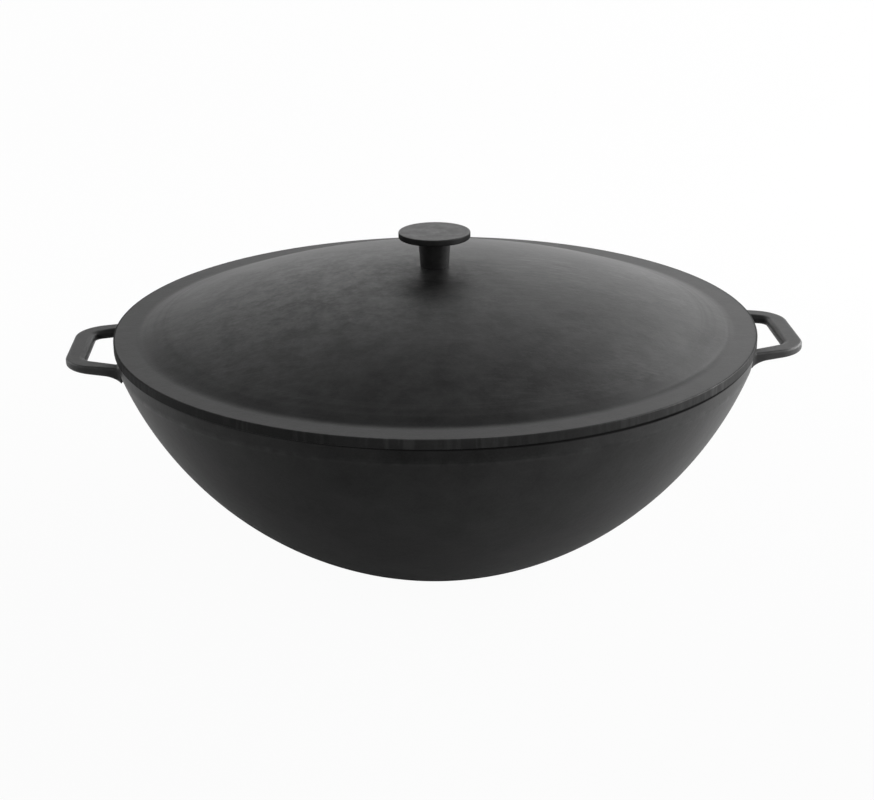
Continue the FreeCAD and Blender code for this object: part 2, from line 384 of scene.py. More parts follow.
def piece_from(name, shells, material, node):
    """One smooth-shaded piece from closed shells, given as (vertices, faces, edge values)."""
    vertices, faces, edges = [], [], []
    start = 0
    for shell_vertices, shell_faces, shell_edges in shells:
        vertices.append(shell_vertices)
        faces += [[corner + start for corner in face] for face in shell_faces]
        edges.append(shell_edges)
        start += len(shell_vertices)
    mesh = bpy.data.meshes.new(name)
    mesh.from_pydata(np.concatenate(vertices).tolist(), [], faces)
    mesh.attributes.new("edge", "FLOAT", "POINT").data.foreach_set("value", np.concatenate(edges))
    mesh.polygons.foreach_set("use_smooth", np.ones(len(mesh.polygons), bool))
    mesh.materials.append(material)
    mesh.update()
    if mesh.validate():
        raise RuntimeError(f"the mesh of {name} had faults")
    piece = bpy.data.objects.new(name, mesh)
    bpy.context.scene.collection.objects.link(piece)
    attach(piece, BODY)
    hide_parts(node)
    return piece


def arc_height(centre, radius, at_radius, side):
    """Height of a circle over or under its centre (side 1 or -1) at a distance from the axis."""
    return centre[1] + side * math.sqrt(radius ** 2 - (at_radius - centre[0]) ** 2)


def belly_centre(pot):
    """Centre of the belly's arc, which runs from the band's lower edge to the foot."""
    first = np.array([pot.rim_radius, pot.rim_height - pot.band_height])
    last = np.array([pot.foot_radius, 0.0])
    chord = last - first
    half = np.hypot(*chord) / 2
    lift = math.sqrt(pot.belly_radius ** 2 - half ** 2)
    return tuple((first + last) / 2 + np.array([chord[1], -chord[0]]) / (2 * half) * lift)


def bowl_corners(pot):
    """Half section of the bowl, from the middle of the foot round to the middle of the floor."""
    centre = belly_centre(pot)
    inside = pot.belly_radius - pot.wall
    mouth = pot.rim_radius - pot.rim_width
    floor_edge = centre[0] + math.sqrt(inside ** 2 - (centre[1] - pot.floor_thickness) ** 2)
    return [
        Corner(0, 0, spacing=9 * MM),
        Corner(pot.foot_radius, 0, pot.foot_softness, centre, spacing=3 * MM, cast=1),
        Corner(pot.rim_radius, pot.rim_height - pot.band_height, pot.band_softness, spacing=2 * MM,
               cast=0.5, worn=0.2),
        Corner(pot.rim_radius, pot.rim_height, pot.seam_softness, worn=0),
        Corner(mouth, pot.rim_height, pot.edge_softness),
        Corner(mouth, arc_height(centre, inside, mouth, -1), pot.band_softness, centre, spacing=7 * MM),
        Corner(floor_edge, pot.floor_thickness, pot.floor_softness, spacing=9 * MM),
        Corner(0, pot.floor_thickness),
    ]


def blend_to_circle(start, along, side, centre, radius, blend):
    """Hollow arc from a straight line to a circle: where it leaves the line, where it meets the
    circle, and its own centre, which lies the sum of both radii from the circle's centre."""
    offset = start + side * blend - centre
    ahead = offset @ along
    travel = -ahead - math.sqrt(ahead ** 2 - offset @ offset + (radius + blend) ** 2)
    own_centre = centre + offset + along * travel
    out = own_centre - centre
    return own_centre - side * blend, centre + out / np.hypot(*out) * radius, own_centre


def ear_outlines(pot, ear):
    """Outer outline and window outline of an ear, as points that face each other across the bar.

    Along each side both run on the same share of the way from inside the wall to their outer
    corner. The outer one first leaves the band by a hollow arc. The corners turn through the same
    share of their arcs, and the outer bar is straight. The other side is the mirror image."""
    tip = np.array([ear.reach, ear.tip_width / 2])
    root = np.array([pot.rim_radius, ear.root_width / 2])
    window_tip = np.array([ear.reach - ear.grip_width, ear.window_tip_width / 2])
    window_root = np.array([pot.rim_radius, ear.window_root_width / 2])

    def corner_arc(from_root, to_tip, radius, steps):
        way = (from_root - to_tip) / np.hypot(*(from_root - to_tip))
        turn = math.pi / 2 - math.atan2(way[1], -way[0])
        start = to_tip + way * radius * math.tan(turn / 2)
        normal = np.array([way[1], -way[0]])
        middle = start - normal * radius
        angles = math.atan2(*normal[::-1]) * (1 - np.linspace(0, 1, steps + 1))
        return middle + radius * np.stack([np.cos(angles), np.sin(angles)], axis=-1)

    side_steps, corner_steps, bar_steps = 34, 18, 12
    closer_at_root = 1.3
    outer_corner = corner_arc(root, tip, ear.corner_radius, corner_steps)
    inner_corner = corner_arc(window_root, window_tip, ear.window_corner_radius, corner_steps)

    way = (root - tip) / np.hypot(*(root - tip))
    outward = np.array([way[1], -way[0]])
    leave, meet, own_centre = blend_to_circle(tip, way, outward, np.zeros(2),
                                              pot.rim_radius - ear.root_bite, ear.side_blend)
    hidden = pot.rim_radius - pot.rim_width
    share = np.linspace(0, 1, side_steps + 1)[:-1] ** closer_at_root
    outer_x = hidden + (outer_corner[0, 0] - hidden) * share
    inner_x = hidden + (inner_corner[0, 0] - hidden) * share
    on_line = root[1] + (outer_x - root[0]) * (tip[1] - root[1]) / (tip[0] - root[0])
    reach = np.clip(outer_x - own_centre[0], -ear.side_blend, ear.side_blend)
    on_arc = own_centre[1] - np.sqrt(ear.side_blend ** 2 - reach ** 2)
    in_wall = meet[1] * outer_x / meet[0]
    outer_y = np.where(outer_x > leave[0], on_line, np.where(outer_x > meet[0], on_arc, in_wall))
    inner_y = window_root[1] + (inner_x - window_root[0]) * (
        (window_tip[1] - window_root[1]) / (window_tip[0] - window_root[0]))

    def whole(side_x, side_y, corner):
        half = np.concatenate([np.stack([side_x, side_y], axis=-1), corner])
        bar = np.linspace(corner[-1], corner[-1] * [1, -1], bar_steps + 1)[1:-1]
        return np.concatenate([half, bar, half[::-1] * [1, -1]])

    return whole(outer_x, outer_y, outer_corner), whole(inner_x, inner_y, inner_corner)


def bar_section():
    """Rounded rectangle round the bar of an ear, anticlockwise from its upper inner edge.

    A point lies at share_across of the bar's width and share_up of its thickness, moved by
    round_across and round_up times the radius of the edges. The upper inner edge is rounder."""
    face_steps, bend_steps, rounder = 6, 6, 2.4
    flat = np.linspace(0, 1, face_steps + 1)[1:-1]
    bend = np.linspace(0, math.pi / 2, bend_steps + 1)
    one, none = np.ones_like(bend), np.zeros_like(bend)
    slope = 1 - 2 * flat
    long_slope = rounder * (1 - flat) - flat
    across = np.concatenate([flat, one, one[:len(flat)], one, 1 - flat, none, none[:len(flat)], none])
    up = np.concatenate([one[:len(flat)], one, 1 - flat, none, none[:len(flat)], none, flat, one])
    round_across = np.concatenate([long_slope, np.sin(bend) - 1, none[:len(flat)], np.cos(bend) - 1,
                                   -slope, 1 - np.sin(bend), none[:len(flat)],
                                   rounder * (1 - np.cos(bend))])
    round_up = np.concatenate([none[:len(flat)], np.cos(bend) - 1, -slope, 1 - np.sin(bend),
                               none[:len(flat)], 1 - np.cos(bend), -long_slope[::-1],
                               rounder * (np.sin(bend) - 1)])
    is_face = np.zeros(len(flat))
    edge = np.concatenate([is_face, one, is_face, one, is_face, one, is_face, one])
    return across, up, round_across, round_up, edge


def ear_shell(pot, ear, unevenness, seed, turned):
    """Closed surface of one ear: the bar's rounded section carried round the window.

    At radius r from the axis the underside is a line of the given slope, or, nearer the belly, the
    upper half of a circle that touches both. The top is flat, with a hollow up to the band."""
    outer, inner = ear_outlines(pot, ear)
    across, up, round_across, round_up, edge = bar_section()
    bar = outer - inner
    width = np.hypot(*bar.T)
    travel = width[:, None] * across + ear.edge_round * round_across
    plan = inner[:, None] + bar[:, None] * (travel / width[:, None])[..., None]
    radius = np.hypot(plan[..., 0], plan[..., 1])

    top = pot.rim_height - ear.drop
    slope = ear.slope
    tip = np.array([ear.reach, top - ear.tip_thickness])
    inward = np.array([-math.cos(slope), -math.sin(slope)])
    down = np.array([math.sin(slope), -math.cos(slope)])
    leave, meet, own_centre = blend_to_circle(tip, inward, down, np.array(belly_centre(pot)),
                                              pot.belly_radius - ear.root_bite, ear.belly_blend)
    line = tip[1] + (radius - ear.reach) * math.tan(slope)
    reach = np.clip(radius, meet[0], own_centre[0]) - own_centre[0]
    hollow = own_centre[1] + np.sqrt(ear.belly_blend ** 2 - reach ** 2)
    under = np.where(radius > leave[0], line, hollow)
    climb = np.clip(pot.rim_radius + ear.top_blend - radius, 0, ear.top_blend)
    over = top + ear.top_blend - np.sqrt(ear.top_blend ** 2 - climb ** 2)

    height = under + (over - under) * up + ear.edge_round * round_up
    surface = np.concatenate([plan, height[..., None]], axis=-1)
    wave = cast_waves(surface.reshape(-1, 3), seed).reshape(height.shape)
    top_share, under_share = 1.0, -0.6
    surface[..., 2] -= unevenness * wave * np.where(up > 0.5, top_share, under_share)
    if turned:
        surface = surface * [-1, -1, 1]
    ends = [surface[0].mean(axis=0), surface[-1].mean(axis=0)]
    vertices = np.concatenate([surface.reshape(-1, 3), ends])
    # The bar's section goes round the other way than a turned section does
    faces = [face[::-1] for face in tube_faces(np.arange(height.size).reshape(height.shape))]
    edges = np.concatenate([np.tile(edge, len(height)), [0, 0]])
    return vertices, faces, edges


def lid_corners(pot, lid):
    """Half section of the lid: a closed ring round the screw hole, with its solid on the left."""
    underside = pot.rim_height
    flange_top = underside + lid.flange_thickness
    dome_foot = lid.radius - lid.flange_width
    dome_radius = (dome_foot ** 2 + lid.dome_rise ** 2) / (2 * lid.dome_rise)
    centre = (0.0, flange_top + lid.dome_rise - dome_radius)
    inside = dome_radius - lid.wall
    lip_outside = pot.rim_radius - pot.rim_width - lid.lip_clearance
    lip_inside = lip_outside - lid.lip_width
    lip_face = underside - lid.lip_depth
    seat = arc_height(centre, dome_radius, lid.seat_radius, 1)
    boss_face = centre[1] + inside - lid.boss_height
    soft = lid.edge_softness
    return [
        Corner(lid.hole_radius, boss_face, spacing=2 * MM),
        Corner(lid.boss_radius, boss_face, soft),
        Corner(lid.boss_radius, arc_height(centre, inside, lid.boss_radius, 1), soft / 2, centre,
               spacing=7 * MM),
        Corner(lip_inside, arc_height(centre, inside, lip_inside, 1), soft / 2),
        Corner(lip_inside, lip_face, soft),
        Corner(lip_outside, lip_face, soft),
        Corner(lip_outside, underside, soft / 2),
        Corner(lid.radius, underside, soft, cast=0.5, spacing=2 * MM, worn=0),
        Corner(lid.radius, flange_top, soft, cast=0.5, spacing=3 * MM, worn=0),
        Corner(dome_foot, flange_top, lid.dome_softness, centre, spacing=3 * MM, cast=1, worn=0),
        Corner(lid.seat_radius, seat, soft / 2, spacing=2 * MM),
        Corner(lid.hole_radius, seat, spacing=2 * MM),
    ]


def knob_corners(knob):
    """Half section of the knob, from the end of its blind bore round to the middle of its top."""
    foot = knob_low.z
    top = foot + knob.height
    under = top - knob.disc_thickness
    bore_end = foot + knob.bore_depth
    return [
        Corner(0, bore_end, spacing=2 * MM),
        Corner(knob.bore_radius, bore_end - knob.bore_radius / 2, spacing=4 * MM),
        Corner(knob.bore_radius, foot, spacing=2 * MM),
        Corner(knob.stem_radius, foot, 0.3 * MM, spacing=1.5 * MM, cast=0.4),
        Corner(knob.neck_radius, under, knob.neck_softness, spacing=2 * MM, cast=0.4),
        Corner(knob.radius, under, knob.edge_softness, spacing=1 * MM, worn=0),
        Corner(knob.radius, top, knob.edge_softness, spacing=1.5 * MM, cast=0.4, worn=0.3),
        Corner(0, top),
    ]


def add(tree, kind, inputs=None, **settings):
    """New node, with its settings, and its inputs set or linked."""
    made = tree.nodes.new(kind)
    for name, value in settings.items():
        setattr(made, name, value)
    for name, value in (inputs or {}).items():
        if isinstance(value, Field):
            tree.links.new(value.socket, made.inputs[name])
        else:
            made.inputs[name].default_value = value
    count = len(tree.nodes)
    made.location = (220 * (count % 8), -260 * (count // 8))
    return made


class Field:
    """Output of a node: a number, place or shader that varies over a surface. The signs +, -, * and /
    and abs(), used on fields and plain numbers, make Math nodes."""

    def __init__(self, socket):
        self.socket = socket
        self.tree = socket.id_data

    def __add__(self, other):
        return maths("ADD", self, other)

    def __sub__(self, other):
        return maths("SUBTRACT", self, other)

    def __rsub__(self, other):
        return maths("SUBTRACT", other, self)

    def __mul__(self, other):
        return maths("MULTIPLY", self, other)

    def __truediv__(self, other):
        return maths("DIVIDE", self, other)

    def __rtruediv__(self, other):
        return maths("DIVIDE", other, self)

    def __abs__(self):
        return maths("ABSOLUTE", self)

    __radd__, __rmul__ = __add__, __mul__

    def spread(self, low, high, to_low=0.0, to_high=1.0):
        """The field moved from one range to another, and held inside it."""
        inputs = {"Value": self, "From Min": low, "From Max": high, "To Min": to_low, "To Max": to_high}
        return field(self.tree, "ShaderNodeMapRange", "Result", inputs, clamp=True)


def field(tree, kind, output, inputs=None, **settings):
    """One output of a new node, as a field."""
    return Field(add(tree, kind, inputs, **settings).outputs[output])


def maths(operation, *terms):
    """Output of a Math node. One term at least is a field."""
    tree = next(term.tree for term in terms if isinstance(term, Field))
    return field(tree, "ShaderNodeMath", 0, dict(enumerate(terms)), operation=operation)


def vector_maths(operation, *terms, output="Vector"):
    """Output of a Vector Math node. The first term is a field."""
    inputs = dict(enumerate(terms))
    return field(terms[0].tree, "ShaderNodeVectorMath", output, inputs, operation=operation)


def scaled(tree, vector, factor):
    """A direction or a colour, times a factor."""
    inputs = {0: vector, "Scale": factor}
    return field(tree, "ShaderNodeVectorMath", "Vector", inputs, operation="SCALE")


def distance(position, place):
    """Distance from a fixed place."""
    return vector_maths("DISTANCE", position, place, output="Value")


def along_axes(position):
    """The X, Y and Z of a position."""
    places = add(position.tree, "ShaderNodeSeparateXYZ", {"Vector": position}).outputs
    return [Field(places[axis]) for axis in "XYZ"]


def from_axis(position):
    """The flat part of a position, and its distance from the axis."""
    flat = vector_maths("MULTIPLY", position, (1.0, 1.0, 0.0))
    return flat, vector_maths("LENGTH", flat, output="Value")


def mixed(share, first, second):
    """The first value where the share is 0, and the second where it is 1."""
    return field(share.tree, "ShaderNodeMix", 0, {0: share, 2: first, 3: second})


def noise(vector, scale, detail, roughness=0.5):
    """Soft noise between 0 and 1."""
    return field(vector.tree, "ShaderNodeTexNoise", "Fac",
                 {"Vector": vector, "Scale": scale, "Detail": detail, "Roughness": roughness})


def ring_mask(radius, inner, outer, soft):
    """1 between two distances, with soft ends."""
    rise = radius.spread(inner - soft, inner + soft)
    return rise * radius.spread(outer - soft, outer + soft, 1.0, 0.0)


def sand_cast_skin(position, grain_size, patch_size):
    """Skin of sand-cast iron: a fine grain, sparse pits and slow cloudy patches."""
    pit_spacing = grain_size * 3.0
    grain = noise(position, 1.0 / grain_size, detail=3.0, roughness=0.6)
    pits = field(position.tree, "ShaderNodeTexVoronoi", "Distance",
                 {"Vector": position, "Randomness": 1.0, "Scale": 1.0 / pit_spacing})
    patches = noise(position, 1.0 / patch_size, detail=4.0, roughness=0.62)
    return grain, pits.spread(0.05, 0.22, 1.0, 0.0), patches.spread(0.3, 0.7)


def turned_lines(position, line_width):
    """Lines that a lathe leaves: noise along the distance from the axis, with a slow drift."""
    drift_scale, drift_depth = 9.0, 1.5 * MM
    flat, radius = from_axis(position)
    wavy = noise(flat, drift_scale, detail=1.0) * drift_depth + radius
    lines = field(position.tree, "ShaderNodeTexNoise", "Fac",
                  {"W": wavy / line_width, "Scale": 1.0, "Detail": 2.0}, noise_dimensions="1D")
    return lines, radius


def wiped_marks(position, mark_length, mark_width):
    """Marks of an oily cloth: noise drawn out along one way, in loose patches."""
    patch_scale = 14.0
    scale = field(position.tree, "ShaderNodeCombineXYZ", "Vector",
                  {"X": 1.0 / mark_length, "Y": 1.0 / mark_width, "Z": 1.0 / mark_width})
    marks = noise(vector_maths("MULTIPLY", position, scale), 1.0, detail=3.0)
    where = noise(position, patch_scale, detail=2.0)
    return (marks.spread(0.45, 0.8) * where.spread(0.42, 0.68),)


def tool_marks(position, mark_width):
    """Short upright marks on an edge: noise that changes round the axis and hardly along it."""
    upright_share, patch_scale = 0.12, 22.0
    flattened = vector_maths("MULTIPLY", position, (1.0, 1.0, upright_share))
    marks = noise(flattened, 1.0 / mark_width, detail=2.0)
    where = noise(flattened, patch_scale, detail=1.0)
    return (marks.spread(0.45, 0.75) * where.spread(0.38, 0.62),)


def seam_shade(position, height, inner_radius, width):
    """Shade of the seam between two pieces: 1 near one height, outside one radius, and fading over the
    width. It is narrower and paler on the left."""
    x, _, z = along_axes(position)
    _, radius = from_axis(position)
    rightwards = x.spread(-0.10, 0.12, 0.35, 1.0)
    near = (abs(z - height) / (width * rightwards)).spread(0.55, 1.0, 1.0, 0.0)
    return (near * rightwards * maths("GREATER_THAN", radius, inner_radius),)


def edge_wear_and_hollow_shade(position):
    """Edges rubbed brighter, and painted shade that keeps hollows darker, from the edge value that each
    piece stores.
    """
    patch_scale = 160.0
    edge = field(position.tree, "ShaderNodeAttribute", "Fac", attribute_name="edge")
    broken = noise(position, patch_scale, detail=3.0).spread(0.35, 0.7)
    return edge.spread(0.2, 1.0) * broken, edge.spread(-0.2, -1.0)


# The shared node groups, each named after the function that works it out: the inputs that follow
# Position, with their usual values, and the outputs
SHARED_GROUPS = {
    sand_cast_skin: ({"Grain Size": 1.1 * MM, "Patch Size": 26 * MM}, ("Grain", "Pits", "Patches")),
    turned_lines: ({"Line Width": 1.2 * MM}, ("Lines", "Radius")),
    wiped_marks: ({"Mark Length": 30 * MM, "Mark Width": 1.8 * MM}, ("Marks",)),
    tool_marks: ({"Mark Width": 1.6 * MM}, ("Marks",)),
    seam_shade: ({"Height": 140 * MM, "Inner Radius": 190 * MM, "Width": 1.1 * MM}, ("Shade",)),
    edge_wear_and_hollow_shade: ({}, ("Rubbed", "Hollow Shade")),
}


def shared_group(work):
    """The node group of a function in the list, made the first time that it is asked for."""
    if work.__name__ in bpy.data.node_groups:
        return bpy.data.node_groups[work.__name__]
    inputs, outputs = SHARED_GROUPS[work]
    tree = bpy.data.node_groups.new(work.__name__, "ShaderNodeTree")
    tree.interface.new_socket(name="Position", in_out="INPUT", socket_type="NodeSocketVector")
    for name, usual in inputs.items():
        socket = tree.interface.new_socket(name=name, in_out="INPUT", socket_type="NodeSocketFloat")
        socket.default_value = usual
    for name in outputs:
        tree.interface.new_socket(name=name, in_out="OUTPUT", socket_type="NodeSocketFloat")
    given = tree.nodes.new("NodeGroupInput").outputs
    results = tree.nodes.new("NodeGroupOutput").inputs
    for name, result in zip(outputs, work(*(Field(given[key]) for key in ("Position", *inputs)))):
        tree.links.new(result.socket, results[name])
    return tree


def use(work, position, *values):
    """Outputs of a shared group that is placed in a material with its own values."""
    inputs, outputs = SHARED_GROUPS[work]
    placed = add(position.tree, "ShaderNodeGroup", {"Position": position, **dict(zip(inputs, values))},
                 node_tree=shared_group(work))
    return [Field(placed.outputs[name]) for name in outputs]


def empty_tree(holder):
    """The node tree of a material or a world, with nothing in it."""
    holder.use_nodes = True
    holder.node_tree.nodes.clear()
    return holder.node_tree


def show(shader, kind="ShaderNodeOutputMaterial"):
    """Link a shader to the output of its tree."""
    add(shader.tree, kind, {"Surface": shader})


class Skin(NamedTuple):
    """Lightness, roughness and height of the iron. Lightness is a factor on the iron's colour, and also
    says how much oil is left; it carries the painted light and shade as well. Height is in millimetres."""
    light: object
    rough: object
    height: object

    def marked(self, mask, lighter=0.0, rougher=0.0, higher=0.0):
        """The skin with a mark added, by so much where its mask is 1."""
        amounts = (lighter, rougher, higher)
        return Skin(*(have + mask * more if more else have for have, more in zip(self, amounts)))

    def with_painted_shade(self, mask, darker=1.0, rougher=0.0):
        """The skin with painted shade, which takes a share of its lightness where the mask is 1."""
        return Skin(self.light * (1.0 - mask * darker), self.rough + mask * rougher, self.height)


def iron_material(name, base, roughness, finish, marks, *sizes):
    """Iron with a thin film of oil over its cast skin. Marks adds a piece's own marks, and its painted
    light and shade, to the skin.
    """
    least_light, gloss, oil_share, patch_roughness = 0.69, 0.1, 0.56, 0.14
    material = bpy.data.materials.new(name)
    tree = empty_tree(material)
    position = field(tree, "ShaderNodeTexCoord", "Object")
    grain, pits, patches = use(sand_cast_skin, position, finish.grain_size, finish.patch_size)
    rubbed, hollow = use(edge_wear_and_hollow_shade, position)
    skin = Skin(least_light, roughness - patch_roughness / 2, 0.0)
    skin = skin.marked(patches, lighter=0.36, rougher=patch_roughness, higher=0.22)
    skin = skin.marked(grain.spread(0.3, 0.7), lighter=0.15).marked(grain, higher=0.05)
    skin = skin.marked(pits, higher=-0.04)
    skin = skin.marked(rubbed, lighter=0.3, rougher=-0.06)
    # Painted shade in hollow roundings: darker and duller there
    skin = skin.marked(hollow, lighter=-0.7, rougher=0.2)
    skin = marks(skin, position, *sizes)
    bump = {"Height": skin.height, "Distance": MM, "Strength": 1.0}
    show(field(tree, "ShaderNodeBsdfPrincipled", "BSDF", {
        "Base Color": scaled(tree, (*base,), skin.light), "Roughness": skin.rough,
        "Specular IOR Level": gloss, "Coat Weight": maths("MINIMUM", skin.light * oil_share, 1.0),
        "Coat Roughness": roughness, "Normal": field(tree, "ShaderNodeBump", "Normal", bump)}))
    return material


def shaded_seam(skin, position, height):
    """Skin with painted shade, nearly black and dull, in the seam between the lid and the pot."""
    drop, reach_in, width = 0.7 * MM, 3.0 * MM, 1.7 * MM
    shade, = use(seam_shade, position, height - drop, pot_high.y - reach_in, width)
    return skin.with_painted_shade(shade, darker=0.97, rougher=0.45)


def pot_marks(skin, position, pot, ear):
    """Marks of the pot: painted shade on the band under the rim, in front, a lower part that is darker
    towards the bottom, ears that are paler from handling, painted light on the inner face of each ear's
    outer bar, and painted shade in the seam under the lid."""
    band_foot, band_blur = pot.rim_height - pot.band_height, 0.5 * MM
    band_shade_front, band_shade_back = -0.9 * pot.rim_radius, -0.5 * pot.rim_radius
    band_shade_half, band_shade_end = 35 * MM, 85 * MM
    darkening_foot, darkening_top = 40 * MM, 100 * MM
    ear_root, ear_blur = lid_high.x, 6 * MM
    window_end, window_half = ear.reach - ear.grip_width, ear.window_tip_width / 2

    x, y, z = along_axes(position)
    aside = abs(x)
    # Painted shade on the band under the rim, in front, where the lid's edge overhangs it
    band_shade = (z.spread(band_foot - band_blur, band_foot + band_blur) * y.spread(band_shade_back, band_shade_front)
             * aside.spread(band_shade_half, band_shade_end, 1.0, 0.0))
    handled = aside.spread(ear_root, ear_root + ear_blur) * x.spread(-ear_root, ear_root, 0.34, 0.30)
    # Painted light on the inner face of each ear's outer bar, in the window
    window_face_light = (ring_mask(aside, window_end - 1.5 * MM, window_end + 0.8 * MM, 0.8 * MM)
                 * abs(y).spread(window_half - 6 * MM, window_half - 1 * MM, 1.0, 0.0))
    skin = skin.marked(band_shade, lighter=-0.35)
    # Darker towards the bottom and a little lighter towards the top
    skin = skin.marked(z.spread(darkening_foot, darkening_top, -0.10, 0.09), lighter=1.0)
    skin = skin.marked(handled, lighter=1.0).marked(window_face_light, lighter=4.5)
    return shaded_seam(skin, position, pot.rim_height)


def lid_marks(skin, position, lid):
    """Marks of the lid: a turned flange with painted light, paler from the middle to the right and darker
    at the far left, faint turned lines at the foot of the dome with one plainer line among them, scuffs
    on the right of the dome, dry blotches on the left, painted shade on the dome's left side, low on its
    sides and round the knob, where the knob's shadow and reflection fall, an outer edge with upright tool
    marks and painted shade, darker on the left and somewhat on the right, and painted shade in the seam."""
    fine_line, wide_line, blotch_grain, blotch_size = 0.9 * MM, 3.4 * MM, 3.6 * MM, 13 * MM
    scuff_length, scuff_width, tool_width = 34 * MM, 1.7 * MM, 3.2 * MM
    dome_foot = lid.radius - lid.flange_width
    plain_line = dome_foot - 15 * MM
    dry_place = (-70 * MM, -15 * MM, lid_high.z)
    scuffed_place = (115 * MM, 30 * MM, lid_high.z)
    knob_shadow_place = (0.0, -12 * MM, lid_high.z)

    x, y, _ = along_axes(position)
    fine_lines, radius = use(turned_lines, position, fine_line)
    wide_lines, _ = use(turned_lines, position, wide_line)
    wiped, = use(wiped_marks, position, scuff_length, scuff_width)
    upright, = use(tool_marks, position, tool_width)
    grain, _, patches = use(sand_cast_skin, position, blotch_grain, blotch_size)

    # The parts of the lid, by their distance from the axis
    dome = radius.spread(dome_foot - 14 * MM, dome_foot - 2 * MM, 1.0, 0.0)
    foot = ring_mask(radius, dome_foot - 26 * MM, dome_foot - 3 * MM, 5 * MM)
    low_ring = ring_mask(radius, dome_foot - 18 * MM, dome_foot - 1 * MM, 4 * MM)
    flange = ring_mask(radius, dome_foot, lid.radius - 1.2 * MM, 1.2 * MM)
    side = radius.spread(lid.radius - 1.3 * MM, lid.radius - 0.7 * MM)

    # The marks. Where a spread has four numbers, a mark is as strong as the last two say at the first two
    one_line = ring_mask(radius, plain_line - fine_line, plain_line + fine_line, fine_line)
    lines = maths("MAXIMUM", wide_lines.spread(0.46, 0.78) * foot, one_line)
    scuffs = wiped * dome * distance(position, scuffed_place).spread(25 * MM, 90 * MM, 1.6, 0.45)
    dry = distance(position, dry_place).spread(30 * MM, 120 * MM, 1.0, 0.2)
    blotches = (grain.spread(0.4, 0.7) * 0.55 + patches.spread(0.3, 0.8, 0.0, 0.75)) * dry * dome
    # Painted light on the flange: paler from the middle to the right, darker at the far left
    flange_light = flange * x.spread(-0.19, -0.02, -0.12, 0.34)
    # Painted shade on the left of the dome
    left_dome_shade = dome * x.spread(-0.18, -0.06, 1.0, 0.0)
    # Painted shade low on the dome's sides, in front
    low_dome_shade = low_ring * abs(x).spread(0.08, 0.15) * y.spread(-0.06, 0.04, 1.0, 0.0)
    # Painted shadow and reflection of the knob on the dome, in front of it
    knob_shadow = distance(position, knob_shadow_place).spread(12 * MM, 50 * MM, 1.0, 0.0)
    # Painted shade on the outer edge, strongest at the far left and weaker at the far right
    edge_shade = side * (x.spread(-0.18, -0.04, 0.80, 0.05) + x.spread(0.05, 0.19, 0.0, 0.55))

    skin = skin.marked(flange, rougher=0.03).marked(flange_light, lighter=1.0)
    skin = skin.marked(fine_lines * flange, higher=0.02)
    skin = skin.marked(lines, lighter=0.17, rougher=0.12, higher=0.04)
    skin = skin.marked(scuffs, lighter=0.9, rougher=0.10)
    skin = skin.marked(blotches, lighter=0.62).marked(dry, lighter=-0.14)
    skin = skin.marked(upright * side, lighter=0.85, higher=0.10)
    skin = skin.marked(left_dome_shade, lighter=-0.16).marked(low_dome_shade, lighter=-0.25)
    skin = skin.with_painted_shade(edge_shade, rougher=0.4).marked(knob_shadow, lighter=-0.42)
    return shaded_seam(skin, position, lid_low.z + lid.lip_depth)


def knob_marks(skin, position):
    """Marks of the knob: fine turned lines on a mottled top, painted light that makes the top lighter and
    the sides and stem darker, and painted shade towards the left and right ends of the disc.
    """
    line_width, mottle_size, slow_size = 0.7 * MM, 7 * MM, 60 * MM
    top_low, top_high = knob_high.z - 0.45 * MM, knob_high.z - 0.15 * MM
    end_shade_from, end_shade_full, painted_side_shade, painted_top_light = 9 * MM, 19 * MM, 0.46, 1.33
    x, _, z = along_axes(position)
    lines, _ = use(turned_lines, position, line_width)
    mottle, _, _ = use(sand_cast_skin, position, mottle_size, slow_size)
    # Painted shade on the disc's side and underside, towards the left and right ends
    end_shade = abs(x).spread(end_shade_from, end_shade_full) * z.spread(top_low, top_high, 0.9, 0.0)
    skin = skin.marked(lines.spread(0.55, 0.75), lighter=0.15).marked(lines, higher=0.02)
    skin = skin.marked(mottle.spread(0.35, 0.65, -0.5, 0.5), lighter=0.4)
    # Painted light on the top and painted shade on the sides and stem
    skin = skin._replace(light=skin.light * z.spread(top_low, top_high, painted_side_shade, painted_top_light))
    return skin.with_painted_shade(end_shade, rougher=0.3)


def screw_material(finish):
    """Plain steel with fine turned lines."""
    line_width = 0.4 * MM
    material = bpy.data.materials.new("screw_steel")
    tree = empty_tree(material)
    lines, _ = use(turned_lines, field(tree, "ShaderNodeTexCoord", "Object"), line_width)
    light, rough = lines.spread(0.3, 0.7, 0.85, 1.1), lines.spread(0.3, 0.7, 0.30, 0.42)
    show(field(tree, "ShaderNodeBsdfPrincipled", "BSDF", {
        "Base Color": scaled(tree, (*finish.screw_colour,), light),
        "Roughness": rough, "Metallic": 1.0}))
    return material


class KAZAN_OT_pot(bpy.types.Operator):
    """Build the bowl and its two ears, which are one casting"""
    bl_idname = "kazan.pot"
    bl_label = "Pot"

    def execute(self, context):
        pot, ear, finish = context.scene.kazan_pot, context.scene.kazan_ear, context.scene.kazan_finish
        iron = iron_material("pot_iron", finish.pot_colour, finish.pot_roughness, finish,
                             pot_marks, pot, ear)
        around, bowl_seed, left_seed, right_seed = 400, 3, 4, 5
        shells = [turned_shell(bowl_corners(pot), False, around, finish.unevenness, bowl_seed),
                  ear_shell(pot, ear, finish.unevenness, right_seed, False),
                  ear_shell(pot, ear, finish.unevenness, left_seed, True)]
        piece_from("pot_casting", shells, iron, "pot")
        return {"FINISHED"}


